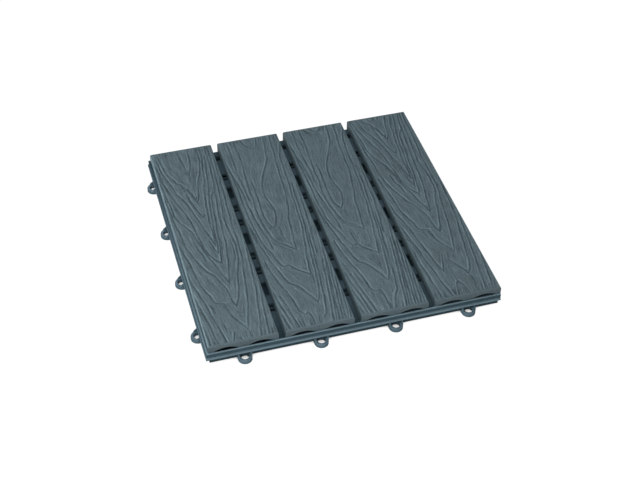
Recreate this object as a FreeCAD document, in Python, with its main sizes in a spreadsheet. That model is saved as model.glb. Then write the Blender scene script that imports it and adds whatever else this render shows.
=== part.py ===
import FreeCAD, Part
import os

import Sketcher
from FreeCAD import Vector

# Interlocking deck tile: four composite slats, screwed from below to one moulded base.
# X runs across the slats, Y along them and Z up. The origin is on the ground, under the
# middle of the slat field. Eyelets stand out on the -X and -Y sides, pegs on +X and +Y.

slatCount = 4

drivingSizes = {
    # slats
    "slat_length": 295,
    "slat_width": 68.5,
    "slat_gap": 7,
    "slat_thick": 11.5,
    "edge_round": 1.5,
    "flute_width": 25,
    "flute_spacing": 34.2,
    "flute_leg": 3.7,
    "flute_rise": 3.5,
    # floor of the base, its openings and its ribs
    "base_height": 10.5,
    "floor_thick": 2.5,
    "bar_width": 11.5,
    "bar_spacing": 22.5,
    "drain_slot_width": 8,
    "drain_slot_length": 50,
    "rib_thick": 1.6,
    "rib_lift": 2.5,
    "rib_drop": 1,
    # rim and plinth
    "slat_clearance": 0.3,
    "lip_thick": 2.2,
    "lip_height": 4.3,
    "lip_bevel": 0.4,
    "flare_width": 0.8,
    "flare_top": 10.8,
    "flare_bottom": 8,
    "rim_bottom": 7.5,
    "rim_width": 5.2,
    "plinth_inset": 3.2,
    "plinth_thick": 2,
    "flange_setback": 0.5,
    "peg_recess": 5.7,
    "recess_wing": 4.7,
    # feet and screws
    "foot_width": 13,
    "foot_wall": 2,
    "screw_radius": 1.7,
    "screw_head_radius": 3.6,
    "screw_head_height": 2.4,
    "screw_bite": 7.5,
    "screw_clearance": 0.4,
    "pilot_clearance": 0.05,
    "pilot_spare": 0.6,
    # eyelets and pegs
    "joint_gap": 5,
    "eyelet_reach": 3.5,
    "eyelet_radius": 7,
    "eyelet_hole_radius": 4,
    "eyelet_height": 4.5,
    "web_thick": 1.6,
    "peg_radius": 1.8,
    "peg_tab_margin": 0.3,
    "peg_tab_root": 9,
    "peg_tab_lift": 0.3,
    "peg_ground_gap": 0.6,
}

doc = FreeCAD.newDocument("deck_tile")
sheet = doc.addObject("Spreadsheet::Sheet", "sizes")
for row, (alias, value) in enumerate(drivingSizes.items(), start=1):
    sheet.set(f"A{row}", alias)
    sheet.set(f"B{row}", str(value))
    sheet.setAlias(f"B{row}", alias)
doc.recompute()


# Places that several pieces share, as expressions of the sheet.
# The base is divided into square units, as many along the slats as across them.
# Each function takes the axis that it measures along, X or Y.

lastUnit = slatCount - 1
halfField = {
    "X": f"(({slatCount} * (sizes.slat_width + sizes.slat_gap) - sizes.slat_gap) / 2)",
    "Y": "(sizes.slat_length / 2)",
}
pitch = {
    "X": "(sizes.slat_width + sizes.slat_gap)",
    "Y": f"((sizes.slat_length + sizes.slat_gap) / {slatCount})",
}
floorBottom = "(sizes.base_height - sizes.floor_thick)"


def otherAxis(axis):
    return "Y" if axis == "X" else "X"


def unitCentre(axis, index):
    return f"({index - lastUnit / 2} * {pitch[axis]})"


def lipFace(axis):
    return f"(-{halfField[axis]} - sizes.slat_clearance - sizes.lip_thick)"


def flangeEdge(axis):
    return f"({halfField[axis]} - sizes.flange_setback)"


def plinthLow(axis):
    return f"({lipFace(axis)} + sizes.plinth_inset)"


def plinthHigh(axis):
    return f"({flangeEdge(axis)} - sizes.peg_recess)"


def gridHigh(axis):
    return f"({lastUnit / 2} * {pitch[axis]} - sizes.bar_width / 2)"


def eyeletLine(axis):
    return f"(-{halfField[axis]} - sizes.eyelet_reach)"


def pegLine(axis):
    return f"({halfField[axis]} + sizes.joint_gap - sizes.eyelet_reach)"


# Sketches. A corner is (x, y), or (x, y, turn, axis, place) where an arc leaves it:
# turn is 1 for an arc that runs anticlockwise, and its centre has this place on the axis.


def measured(expression):
    return float(sheet.evalExpression(expression))


def originPart(body, role):
    return next(part for part in body.Origin.OriginFeatures if part.Role == role)


def newBody(label):
    body = doc.addObject("PartDesign::Body", label)
    body.Label = label
    return body


def newSketch(body, name, plane="XY_Plane", offset=("0", "0", "0")):
    sketch = body.newObject("Sketcher::SketchObject", name)
    sketch.AttachmentSupport = [(originPart(body, plane), "")]
    sketch.MapMode = "FlatFace"
    for letter, expression in zip("xyz", offset):
        sketch.setExpression(f"AttachmentOffset.Base.{letter}", expression)
    return sketch


def constrain(sketch, kind, geometry, point, expression):
    distance = Sketcher.Constraint(kind, -1, 1, geometry, point, measured(expression))
    sketch.setExpression(f"Constraints[{sketch.addConstraint(distance)}]", expression)


# The middle of an arc lies one radius from its centre, square to its chord.
def arcMiddle(start, end, turn, axis, place):
    middle = (start + end) * 0.5
    normal = Vector(start.y - end.y, end.x - start.x, 0).normalize()
    if axis == "X":
        centre = middle + normal * ((place - middle.x) / normal.x)
    else:
        centre = middle + normal * ((place - middle.y) / normal.y)
    return centre - normal * turn * start.distanceToPoint(centre)


def startPoint(corner):
    runsClockwise = len(corner) > 2 and corner[2] < 0
    return 2 if runsClockwise else 1


def addOutline(sketch, corners):
    first = sketch.GeometryCount
    points = [Vector(measured(corner[0]), measured(corner[1]), 0) for corner in corners]
    for index, corner in enumerate(corners):
        start = points[index]
        end = points[(index + 1) % len(corners)]
        if len(corner) == 2:
            sketch.addGeometry(Part.LineSegment(start, end))
        else:
            middle = arcMiddle(start, end, corner[2], corner[3], measured(corner[4]))
            sketch.addGeometry(Part.Arc(start, middle, end))
    for index, corner in enumerate(corners):
        following = (index + 1) % len(corners)
        endPoint = 3 - startPoint(corner)
        nextStart = startPoint(corners[following])
        join = Sketcher.Constraint(
            "Coincident", first + index, endPoint, first + following, nextStart
        )
        sketch.addConstraint(join)
        constrain(sketch, "DistanceX", first + index, startPoint(corner), corner[0])
        constrain(sketch, "DistanceY", first + index, startPoint(corner), corner[1])
        if len(corner) > 2:
            constrain(sketch, f"Distance{corner[3]}", first + index, 3, corner[4])


def addRectangle(sketch, left, right, low, high):
    addOutline(sketch, [(left, low), (right, low), (right, high), (left, high)])


# A rectangle that lies across the axis from near to far, and along it from low to high.
def addStrip(sketch, axis, near, far, low, high):
    if axis == "X":
        addRectangle(sketch, near, far, low, high)
    else:
        addRectangle(sketch, low, high, near, far)


def addSquare(sketch, x, y, width):
    addRectangle(
        sketch,
        f"({x} - {width} / 2)",
        f"({x} + {width} / 2)",
        f"({y} - {width} / 2)",
        f"({y} + {width} / 2)",
    )


def addCircle(sketch, x, y, radius):
    centre = Vector(measured(x), measured(y), 0)
    index = sketch.addGeometry(Part.Circle(centre, Vector(0, 0, 1), measured(radius)))
    constrain(sketch, "DistanceX", index, 3, x)
    constrain(sketch, "DistanceY", index, 3, y)
    size = sketch.addConstraint(Sketcher.Constraint("Radius", index, measured(radius)))
    sketch.setExpression(f"Constraints[{size}]", radius)


# Features


def finish(body, feature, sketch):
    sketch.Visibility = False
    body.Tip = feature
    doc.recompute()
    return feature


def pad(body, name, sketch, length, symmetric=False):
    feature = body.newObject("PartDesign::Pad", name)
    feature.Profile = sketch
    feature.SideType = "Symmetric" if symmetric else "One side"
    feature.setExpression("Length", length)
    return finish(body, feature, sketch)


# A pocket cuts upwards from its sketch, or to both sides of it.
def pocket(body, name, sketch, length, symmetric=False):
    feature = body.newObject("PartDesign::Pocket", name)
    feature.Profile = sketch
    feature.SideType = "Symmetric" if symmetric else "One side"
    feature.Reversed = not symmetric
    feature.setExpression("Length", length)
    return finish(body, feature, sketch)


def rowOf(body, name, originals, axis):
    feature = body.newObject("PartDesign::LinearPattern", name)
    feature.Originals = originals
    feature.Direction = (originPart(body, f"{axis}_Axis"), [""])
    feature.Mode = "Spacing"
    feature.setExpression("Offset", pitch[axis])
    feature.Occurrences = slatCount
    body.Tip = feature
    return feature


# As many columns as there are slats, and some rows along them.
def gridOf(body, name, originals, rows, rowSpacing):
    feature = rowOf(body, name, originals, "X")
    doc.recompute()
    feature.Direction2 = (originPart(body, "Y_Axis"), [""])
    feature.Mode2 = "Spacing"
    feature.setExpression("Offset2", rowSpacing)
    feature.Occurrences2 = rows
    doc.recompute()


# Two screws hold each slat, under its first unit and its last.
screwRows = 2
screwSpacing = f"({lastUnit} * {pitch['Y']})"


# Base: the rim is one section swept round the eyelet sides, with a square corner.
# The lip stands behind the slat ends, and its foot flares out over the plinth.


def makeRim(body):
    face = lipFace("X")
    corners = [
        (face, flangeEdge("Y")),
        (face, lipFace("Y")),
        (flangeEdge("X"), lipFace("Y")),
    ]
    points = [Vector(measured(x), measured(y), 0) for x, y in corners]
    route = newSketch(body, "rim_route")
    route.addGeometry(Part.LineSegment(points[0], points[1]))
    route.addGeometry(Part.LineSegment(points[1], points[2]))
    route.addConstraint(Sketcher.Constraint("Coincident", 0, 2, 1, 1))
    for (geometry, point), (x, y) in zip(((0, 1), (1, 1), (1, 2)), corners):
        constrain(route, "DistanceX", geometry, point, x)
        constrain(route, "DistanceY", geometry, point, y)

    lipTop = "(sizes.base_height + sizes.lip_height)"
    inner = f"({face} + sizes.lip_thick)"
    section = newSketch(
        body, "rim_section", "XZ_Plane", ("0", "0", f"(-1 * {flangeEdge('Y')})")
    )
    addOutline(
        section,
        [
            (f"({face} - sizes.flare_width)", "sizes.rim_bottom"),
            (f"({face} + sizes.rim_width)", "sizes.rim_bottom"),
            (f"({face} + sizes.rim_width)", "sizes.base_height"),
            (inner, "sizes.base_height"),
            (inner, f"({lipTop} - sizes.lip_bevel)"),
            (f"({inner} - sizes.lip_bevel)", lipTop),
            (f"({face} + sizes.lip_bevel)", lipTop),
            (face, f"({lipTop} - sizes.lip_bevel)"),
            (face, "sizes.flare_top"),
            (f"({face} - sizes.flare_width)", "sizes.flare_bottom"),
        ],
    )
    doc.recompute()
    rim = body.newObject("PartDesign::AdditivePipe", "rim")
    rim.Profile = section
    rim.Spine = (route, ["Edge1", "Edge2"])
    rim.Transition = "Right corner"
    route.Visibility = False
    finish(body, rim, section)


# The plinth stands back under the rim. On the peg sides it stands back further, to let the
# next tile's eyelets in, and wings of the eyelet sides' plinth close the recess.
def makePlinth(body):
    low = {axis: plinthLow(axis) for axis in "XY"}
    lowInner = {axis: f"({low[axis]} + sizes.plinth_thick)" for axis in "XY"}
    high = {axis: plinthHigh(axis) for axis in "XY"}
    highInner = {axis: f"({high[axis]} - sizes.plinth_thick)" for axis in "XY"}
    wing = {axis: f"({high[axis]} + sizes.recess_wing)" for axis in "XY"}
    plan = newSketch(body, "plinth_plan")
    addOutline(
        plan,
        [
            (low["X"], low["Y"]),
            (wing["X"], low["Y"]),
            (wing["X"], lowInner["Y"]),
            (high["X"], lowInner["Y"]),
            (high["X"], high["Y"]),
            (lowInner["X"], high["Y"]),
            (lowInner["X"], wing["Y"]),
            (low["X"], wing["Y"]),
        ],
    )
    addRectangle(plan, lowInner["X"], highInner["X"], lowInner["Y"], highInner["Y"])
    pad(body, "plinth", plan, floorBottom)


# A closed border carries the slat ends. Slots drain it on the peg sides, in line with the
# gaps between the units.
def makeBorder(body):
    plan = newSketch(body, "border_plan", offset=("0", "0", floorBottom))
    addRectangle(plan, lipFace("X"), flangeEdge("X"), lipFace("Y"), flangeEdge("Y"))
    addRectangle(
        plan,
        f"(-1 * {gridHigh('X')})",
        gridHigh("X"),
        f"(-1 * {gridHigh('Y')})",
        gridHigh("Y"),
    )
    for axis in "XY":
        row = otherAxis(axis)
        far = f"({plinthHigh(axis)} - sizes.plinth_thick)"
        near = f"({far} - sizes.drain_slot_width)"
        for index in range(lastUnit):
            middle = f"({unitCentre(row, index)} + {pitch[row]} / 2)"
            low = f"({middle} - sizes.drain_slot_length / 2)"
            high = f"({middle} + sizes.drain_slot_length / 2)"
            addStrip(plan, axis, near, far, low, high)
    pad(body, "border", plan, "sizes.floor_thick")


# Inside the border, flat bars run across the slats. Each unit has three, but those of the
# end units lie in the border, apart from the innermost.
def makeBars(body):
    plan = newSketch(body, "bar_plan", offset=("0", "0", floorBottom))
    for unit in range(slatCount):
        for step in (-1, 0, 1):
            inBorder = (unit == 0 and step < 1) or (unit == lastUnit and step > -1)
            if inBorder:
                continue
            middle = f"({unitCentre('Y', unit)} + {step} * sizes.bar_spacing)"
            near = f"({middle} - sizes.bar_width / 2)"
            far = f"({middle} + sizes.bar_width / 2)"
            addStrip(plan, "Y", near, far, f"(-1 * {gridHigh('X')})", gridHigh("X"))
    pad(body, "bars", plan, "sizes.floor_thick")


# Ribs tie the plinth walls together. Cross ribs run between the bars, with their tops a
# little lower, and long ribs pass under the bars, below the middle of the inner slats.
def makeRibs(body):
    ends = {
        axis: (
            f"({plinthLow(axis)} + sizes.plinth_thick / 2)",
            f"({plinthHigh(axis)} - sizes.plinth_thick / 2)",
        )
        for axis in "XY"
    }
    crossPlaces = [
        f"({unitCentre('Y', unit)} + {side} * sizes.bar_spacing / 2)"
        for unit in range(slatCount)
        for side in (-1, 1)
    ]
    longPlaces = [unitCentre("X", unit) for unit in range(1, lastUnit)]
    for name, axis, places, top in (
        ("long", "X", longPlaces, floorBottom),
        ("cross", "Y", crossPlaces[1:-1], "(sizes.base_height - sizes.rib_drop)"),
    ):
        plan = newSketch(body, f"{name}_rib_plan", offset=("0", "0", "sizes.rib_lift"))
        for place in places:
            near = f"({place} - sizes.rib_thick / 2)"
            far = f"({place} + sizes.rib_thick / 2)"
            addStrip(plan, axis, near, far, *ends[otherAxis(axis)])
        pad(body, f"{name}_ribs", plan, f"({top} - sizes.rib_lift)")


# A square hollow foot under the middle of each unit. Those at the slat ends have a
# clearance hole through the floor for a screw, whose head stays up inside the foot.
def makeFeet(body):
    x = unitCentre("X", 0)
    y = unitCentre("Y", 0)
    plan = newSketch(body, "foot_plan")
    addSquare(plan, x, y, "sizes.foot_width")
    foot = pad(body, "foot", plan, floorBottom)
    hollow = newSketch(body, "foot_hollow_plan")
    addSquare(hollow, x, y, "(sizes.foot_width - 2 * sizes.foot_wall)")
    well = pocket(body, "foot_hollow", hollow, floorBottom)
    gridOf(body, "feet", [foot, well], slatCount, pitch["Y"])

    plan = newSketch(body, "screw_hole_plan", offset=("0", "0", floorBottom))
    addCircle(plan, x, y, "(sizes.screw_radius + sizes.screw_clearance)")
    hole = pocket(body, "screw_hole", plan, "sizes.floor_thick")
    gridOf(body, "screw_holes", [hole], screwRows, screwSpacing)


# What stands on a side is drawn along the side's axis and outwards from the middle.
# On the sides that run along Y, X and Y change places, and arcs turn the other way.
def onSide(row, corners):
    if row == "X":
        return corners
    return [
        (corner[1], corner[0], -corner[2], otherAxis(corner[3]), corner[4])
        if len(corner) > 2
        else (corner[1], corner[0])
        for corner in corners
    ]


# An eyelet is a ring on two arms. Webs rise from the arms to the rim, and the slope of
# their tops runs down to the ring.
def makeEyelets(body, row):
    out = otherAxis(row)
    place = unitCentre(row, 0)
    centre = eyeletLine(out)
    root = f"({plinthLow(out)} + sizes.plinth_thick / 2)"
    left = f"({place} - sizes.eyelet_radius)"
    right = f"({place} + sizes.eyelet_radius)"
    plan = newSketch(body, f"eyelet_{row}_plan")
    outline = [
        (left, root),
        (left, centre, 1, "Y", centre),
        (right, centre),
        (right, root),
    ]
    addOutline(plan, onSide(row, outline))
    ring = pad(body, f"eyelet_{row}", plan, "sizes.rim_bottom")

    beyond = f"({centre} - sizes.eyelet_radius - 1)"
    plane = "YZ_Plane" if row == "X" else "XZ_Plane"
    distance = place if row == "X" else f"(-1 * {place})"
    profile = newSketch(body, f"slope_{row}_profile", plane, ("0", "0", distance))
    addOutline(
        profile,
        [
            (beyond, "sizes.eyelet_height"),
            (f"({centre} - sizes.eyelet_radius / 2)", "sizes.eyelet_height"),
            (lipFace(out), "sizes.rim_bottom"),
            (beyond, "sizes.rim_bottom"),
        ],
    )
    width = "(2 * sizes.eyelet_radius + 2)"
    slope = pocket(body, f"slope_{row}", profile, width, symmetric=True)

    innerLeft = f"({left} + sizes.web_thick)"
    innerRight = f"({right} - sizes.web_thick)"
    wall = plinthLow(out)
    plan = newSketch(body, f"throat_{row}_plan", offset=("0", "0", "sizes.eyelet_height"))
    outline = [
        (innerLeft, beyond),
        (innerRight, beyond),
        (innerRight, wall),
        (innerLeft, wall),
    ]
    addOutline(plan, onSide(row, outline))
    height = "(sizes.rim_bottom - sizes.eyelet_height)"
    throat = pocket(body, f"throat_{row}", plan, height)

    plan = newSketch(body, f"eyelet_{row}_hole_plan")
    x, y = onSide(row, [(place, centre)])[0]
    addCircle(plan, x, y, "sizes.eyelet_hole_radius")
    hole = pocket(body, f"eyelet_{row}_hole", plan, "sizes.eyelet_height")
    rowOf(body, f"eyelets_{row}", [ring, slope, throat, hole], row)


# A peg hangs from a tab on the plinth. It is thin enough to drop into the next tile's
# eyelet outside that tile's rim, and the tab then slides in between rim and ring.
def makePegs(body, row):
    out = otherAxis(row)
    place = unitCentre(row, 0)
    centre = pegLine(out)
    root = f"({plinthHigh(out)} - sizes.plinth_thick / 2)"
    left = f"({place} - sizes.peg_radius - sizes.peg_tab_margin)"
    right = f"({place} + sizes.peg_radius + sizes.peg_tab_margin)"
    tip = f"({centre} + sizes.peg_radius + sizes.peg_tab_margin)"
    tabBottom = "(sizes.eyelet_height + sizes.peg_tab_lift)"
    plan = newSketch(body, f"tab_{row}_plan", offset=("0", "0", tabBottom))
    outline = [
        (f"({place} + sizes.peg_tab_root / 2)", root),
        (right, tip),
        (left, tip),
        (f"({place} - sizes.peg_tab_root / 2)", root),
    ]
    addOutline(plan, onSide(row, outline))
    tabTop = "(sizes.rim_bottom - sizes.peg_tab_lift)"
    tab = pad(body, f"tab_{row}", plan, f"({tabTop} - {tabBottom})")

    plan = newSketch(body, f"peg_{row}_plan", offset=("0", "0", "sizes.peg_ground_gap"))
    x, y = onSide(row, [(place, centre)])[0]
    addCircle(plan, x, y, "sizes.peg_radius")
    peg = pad(body, f"peg_{row}", plan, f"({tabBottom} - sizes.peg_ground_gap)")
    rowOf(body, f"pegs_{row}", [tab, peg], row)


def makeBase():
    body = newBody("base_grid")
    makeRim(body)
    makePlinth(body)
    for row in "XY":
        makeEyelets(body, row)
    makeBorder(body)
    for row in "XY":
        makePegs(body, row)
    makeBars(body)
    makeRibs(body)
    makeFeet(body)
    return body


# Slats: one extruded section with two flutes underneath, cut square at its ends.
# Each is modelled about its own middle, with its underside at zero.


def fluteCorners(side):
    middle = f"({side} * sizes.flute_spacing / 2)"
    left = f"({middle} - sizes.flute_width / 2)"
    right = f"({middle} + sizes.flute_width / 2)"
    rise = "sizes.flute_rise"
    radius = f"((sizes.flute_width ^ 2 / 4 + {rise} ^ 2) / (2 * {rise}))"
    centre = f"(sizes.flute_leg + {rise} - {radius})"
    return [
        (left, "0"),
        (left, "sizes.flute_leg", -1, "Y", centre),
        (right, "sizes.flute_leg"),
        (right, "0"),
    ]


def makeSlat(index):
    name = f"slat_{index + 1}"
    body = newBody(name)
    half = "(sizes.slat_width / 2)"
    shoulder = "(sizes.slat_thick - sizes.edge_round)"
    section = newSketch(body, f"{name}_section", "XZ_Plane")
    addOutline(
        section,
        [
            (f"(-1 * {half})", "0"),
            *fluteCorners(-1),
            *fluteCorners(1),
            (half, "0"),
            (half, shoulder, 1, "Y", shoulder),
            (f"({half} - sizes.edge_round)", "sizes.slat_thick"),
            (f"(sizes.edge_round - {half})", "sizes.slat_thick", 1, "Y", shoulder),
            (f"(-1 * {half})", shoulder),
        ],
    )
    pad(body, f"{name}_bar", section, "sizes.slat_length", symmetric=True)

    plan = newSketch(body, f"{name}_pilot_plan")
    for unit in (0, lastUnit):
        radius = "(sizes.screw_radius + sizes.pilot_clearance)"
        addCircle(plan, "0", unitCentre("Y", unit), radius)
    pocket(body, f"{name}_pilots", plan, "(sizes.screw_bite + sizes.pilot_spare)")
    body.setExpression("Placement.Base.x", unitCentre("X", index))
    body.setExpression("Placement.Base.z", "sizes.base_height")
    return body


# Screws: a pan head up against the floor inside the foot, and a blunt thread-forming shank.
def makeScrews():
    body = newBody("slat_screws")
    place = (unitCentre("X", 0), "0", f"(-1 * {unitCentre('Y', 0)})")
    section = newSketch(body, "screw_section", "XZ_Plane", place)
    under = f"({floorBottom} - sizes.screw_head_height)"
    top = "(sizes.base_height + sizes.screw_bite)"
    addOutline(
        section,
        [
            ("0", under),
            ("sizes.screw_head_radius", under),
            ("sizes.screw_head_radius", floorBottom),
            ("sizes.screw_radius", floorBottom),
            ("sizes.screw_radius", top),
            ("0", top),
        ],
    )
    screw = body.newObject("PartDesign::Revolution", "screw")
    screw.Profile = section
    screw.ReferenceAxis = (section, ["V_Axis"])
    screw.Angle = 360
    finish(body, screw, section)
    gridOf(body, "screws", [screw], screwRows, screwSpacing)
    return body


bodies = [makeBase()]
bodies += [makeSlat(index) for index in range(slatCount)]
bodies.append(makeScrews())
doc.recompute()

for item in doc.Objects:
    if "Invalid" in item.State or "Error" in item.State:
        raise RuntimeError(f"{item.Label} failed: {item.State}")
solidCounts = {body.Label: 1 for body in bodies}
solidCounts["slat_screws"] = slatCount * screwRows
for body in bodies:
    if body.Shape.isNull() or not body.Shape.isValid():
        raise RuntimeError(f"{body.Label} has no valid shape")
    if len(body.Shape.Solids) != solidCounts[body.Label]:
        raise RuntimeError(f"{body.Label} has {len(body.Shape.Solids)} solids")

os.makedirs("parts", exist_ok=True)
for body in bodies:
    body.Shape.exportStep(f"parts/{body.Label}.step")
    box = body.Shape.BoundBox
    print(
        f"{body.Label}: {len(body.Shape.Solids)} solids, {body.Shape.Volume:.0f} mm3, "
        f"x {box.XMin:.2f} to {box.XMax:.2f}, y {box.YMin:.2f} to {box.YMax:.2f}, "
        f"z {box.ZMin:.2f} to {box.ZMax:.2f}"
    )
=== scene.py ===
import math

import bmesh
import bpy
import numpy as np
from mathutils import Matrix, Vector


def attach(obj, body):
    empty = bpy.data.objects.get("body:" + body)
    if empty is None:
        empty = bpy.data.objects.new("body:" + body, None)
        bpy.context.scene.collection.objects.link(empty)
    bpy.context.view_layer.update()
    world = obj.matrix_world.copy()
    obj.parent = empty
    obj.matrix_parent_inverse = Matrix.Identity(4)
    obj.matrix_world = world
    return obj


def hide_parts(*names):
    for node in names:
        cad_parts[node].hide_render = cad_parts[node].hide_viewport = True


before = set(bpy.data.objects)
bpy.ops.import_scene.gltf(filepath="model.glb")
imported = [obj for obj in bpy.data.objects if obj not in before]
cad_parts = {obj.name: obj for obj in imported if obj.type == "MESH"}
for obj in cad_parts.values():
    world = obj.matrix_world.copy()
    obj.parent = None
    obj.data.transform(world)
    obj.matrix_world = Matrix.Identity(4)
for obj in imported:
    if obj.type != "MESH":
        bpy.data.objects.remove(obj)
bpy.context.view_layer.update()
mm = 0.001

# A composite deck tile: four grained slats on a moulded base. The slats run along Y, the
# eyelets stand out towards -X and -Y, and the ground is at zero. Sizes are in millimetres
# except for the floor, the lamps and the camera, which are in metres.


# Small helpers

def smoothStep(value, low, high):
    # 0 below low, 1 above high, and 3t^2 - 2t^3 between them
    t = np.clip((value - low) / (high - low), 0.0, 1.0)
    return t * t * (3.0 - 2.0 * t)


def softNoise(shape, cells, seed):
    # random numbers on a coarse grid of cells, blended between its points by smooth steps
    rng = np.random.default_rng(seed)
    coarse = rng.uniform(-1.0, 1.0, (cells[0] + 2, cells[1] + 2))
    u = np.linspace(0, cells[0], shape[0])[:, None]
    v = np.linspace(0, cells[1], shape[1])[None, :]
    i, j = u.astype(int), v.astype(int)
    a, b = smoothStep(u - i, 0, 1), smoothStep(v - j, 0, 1)
    low = coarse[i, j] * (1 - a) + coarse[i + 1, j] * a
    high = coarse[i, j + 1] * (1 - a) + coarse[i + 1, j + 1] * a
    return low * (1 - b) + high * b


def gridFaces(rows, columns, first=0):
    # quads between neighbouring points of a grid that is stored row by row
    index = first + np.arange(rows * columns).reshape(rows, columns)
    quads = np.stack([index[:-1, :-1], index[:-1, 1:], index[1:, 1:], index[1:, :-1]], -1)
    return quads.reshape(-1, 4)


def newPiece(name, points, faces, smooth, material):
    # points in metres, one smooth flag for each face
    mesh = bpy.data.meshes.new(name)
    mesh.from_pydata(points, [], faces)
    mesh.polygons.foreach_set("use_smooth", smooth)
    mesh.materials.append(material)
    mesh.update()
    piece = bpy.data.objects.new(name, mesh)
    bpy.context.collection.objects.link(piece)
    return piece


# Shader helpers

def newGroup(name, inputs, outputs):
    # a shader node group with its two ends; an input is a name, a kind and a value or None
    group = bpy.data.node_groups.new(name, "ShaderNodeTree")
    for label, kind, value in inputs:
        socket = group.interface.new_socket(label, in_out="INPUT", socket_type=kind)
        if value is not None:
            socket.default_value = value
    for label, kind in outputs:
        group.interface.new_socket(label, in_out="OUTPUT", socket_type=kind)
    start = group.nodes.new("NodeGroupInput")
    end = group.nodes.new("NodeGroupOutput")
    return group, start, end


def addNode(tree, kind, settings=None, inputs=None):
    # settings are the node's own properties, inputs the values of its sockets
    node = tree.nodes.new(kind)
    for key, value in (settings or {}).items():
        setattr(node, key, value)
    for key, value in (inputs or {}).items():
        node.inputs[key].default_value = value
    return node


def makeMottleGroup():
    # fine grit and broad clouds, as a shade that multiplies a colour: 1 + 2 (grit + clouds),
    # each centred on zero and times its amount; the grit alone is also the height
    group, start, end = newGroup(
        "mottle",
        [
            ("Vector", "NodeSocketVector", None),
            ("Grit scale", "NodeSocketFloat", 900.0),
            ("Grit amount", "NodeSocketFloat", 0.1),
            ("Cloud scale", "NodeSocketFloat", 25.0),
            ("Cloud amount", "NodeSocketFloat", 0.05),
        ],
        [("Shade", "NodeSocketFloat"), ("Height", "NodeSocketFloat")],
    )
    link = group.links.new
    grit = addNode(group, "ShaderNodeTexNoise", inputs={"Detail": 3.0, "Roughness": 0.65})
    cloud = addNode(group, "ShaderNodeTexNoise", inputs={"Detail": 2.0, "Roughness": 0.5})
    link(start.outputs["Vector"], grit.inputs["Vector"])
    link(start.outputs["Vector"], cloud.inputs["Vector"])
    link(start.outputs["Grit scale"], grit.inputs["Scale"])
    link(start.outputs["Cloud scale"], cloud.inputs["Scale"])
    both = addNode(group, "ShaderNodeMath", {"operation": "ADD"})
    shade = addNode(group, "ShaderNodeMath", {"operation": "MULTIPLY_ADD"}, {1: 2.0, 2: 1.0})
    for slot, noise, amount in ((0, grit, "Grit amount"), (1, cloud, "Cloud amount")):
        centred = addNode(group, "ShaderNodeMath", {"operation": "SUBTRACT"}, {1: 0.5})
        scaled = addNode(group, "ShaderNodeMath", {"operation": "MULTIPLY"})
        link(noise.outputs["Fac"], centred.inputs[0])
        link(centred.outputs[0], scaled.inputs[0])
        link(start.outputs[amount], scaled.inputs[1])
        link(scaled.outputs[0], both.inputs[slot])
    link(both.outputs[0], shade.inputs[0])
    link(shade.outputs[0], end.inputs["Shade"])
    link(grit.outputs["Fac"], end.inputs["Height"])
    return group


mottle = makeMottleGroup()


def newMaterial(name, roughness):
    material = bpy.data.materials.new(name)
    material.use_nodes = True
    tree = material.node_tree
    surface = tree.nodes["Principled BSDF"]
    surface.inputs["Roughness"].default_value = roughness
    return material, tree, surface


def addMottle(tree, grit, gritAmount, cloud, cloudAmount):
    # the mottle group on the piece's own coordinates; scales are per metre
    place = addNode(tree, "ShaderNodeTexCoord")
    node = addNode(tree, "ShaderNodeGroup", {"node_tree": mottle}, {
        "Grit scale": grit,
        "Grit amount": gritAmount,
        "Cloud scale": cloud,
        "Cloud amount": cloudAmount,
    })
    tree.links.new(place.outputs["Object"], node.inputs["Vector"])
    return node


def multiplyColour(tree, colour, factor):
    # colour may be a socket or plain numbers, factor is a socket
    mix = addNode(tree, "ShaderNodeVectorMath", {"operation": "SCALE"})
    if isinstance(colour, tuple):
        mix.inputs[0].default_value = colour
    else:
        tree.links.new(colour, mix.inputs[0])
    tree.links.new(factor, mix.inputs["Scale"])
    return mix.outputs["Vector"]


def mixColours(tree, first, second, factor):
    # either colour may be a socket or plain numbers
    mix = addNode(tree, "ShaderNodeMix", {"data_type": "RGBA"})
    for label, colour in (("A", first), ("B", second)):
        if isinstance(colour, tuple):
            mix.inputs[label].default_value = (*colour, 1)
        else:
            tree.links.new(colour, mix.inputs[label])
    tree.links.new(factor, mix.inputs["Factor"])
    return mix.outputs["Result"]


def readMark(tree, label):
    # a value that each point of the mesh carries under this name
    return addNode(tree, "ShaderNodeAttribute", {"attribute_name": label}).outputs["Fac"]


def blendRoughness(tree, surface, ends, mark):
    # the first roughness where the mark is 0, the second where it is 1
    finish = addNode(tree, "ShaderNodeMapRange", inputs={"To Min": ends[0], "To Max": ends[1]})
    tree.links.new(mark, finish.inputs["Value"])
    tree.links.new(finish.outputs["Result"], surface.inputs["Roughness"])


def addBump(tree, surface, height, distance, strength):
    # distance is the bump's whole height in metres
    bump = addNode(tree, "ShaderNodeBump", inputs={"Strength": strength, "Distance": distance})
    tree.links.new(height, bump.inputs["Height"])
    tree.links.new(bump.outputs["Normal"], surface.inputs["Normal"])


# Slats: an extruded bar whose top is embossed with a cathedral grain

slatSizes = {
    "length": 295.0,
    "width": 68.5,
    "pitch": 75.5,
    "bottom": 10.5,
    "thick": 11.5,
    "edgeRound": 1.5,
    "endRound": 0.7,
    "fluteWidth": 25.0,
    "fluteSpacing": 34.2,
    "fluteLeg": 3.7,
    "fluteRise": 3.5,
    "archSteps": 22,  # points along each flute's arch
    "roundSteps": 6,  # points round each long edge, with the first of the flat part
    "endRows": (0.0, 0.06, 0.2, 0.42, 0.7),  # distances from the end of the closest rows
    "endMargin": 1.2,  # where the even rows begin
    "columns": 184,
    "rows": 474,
    "sharpAngle": 50,
}

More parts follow.
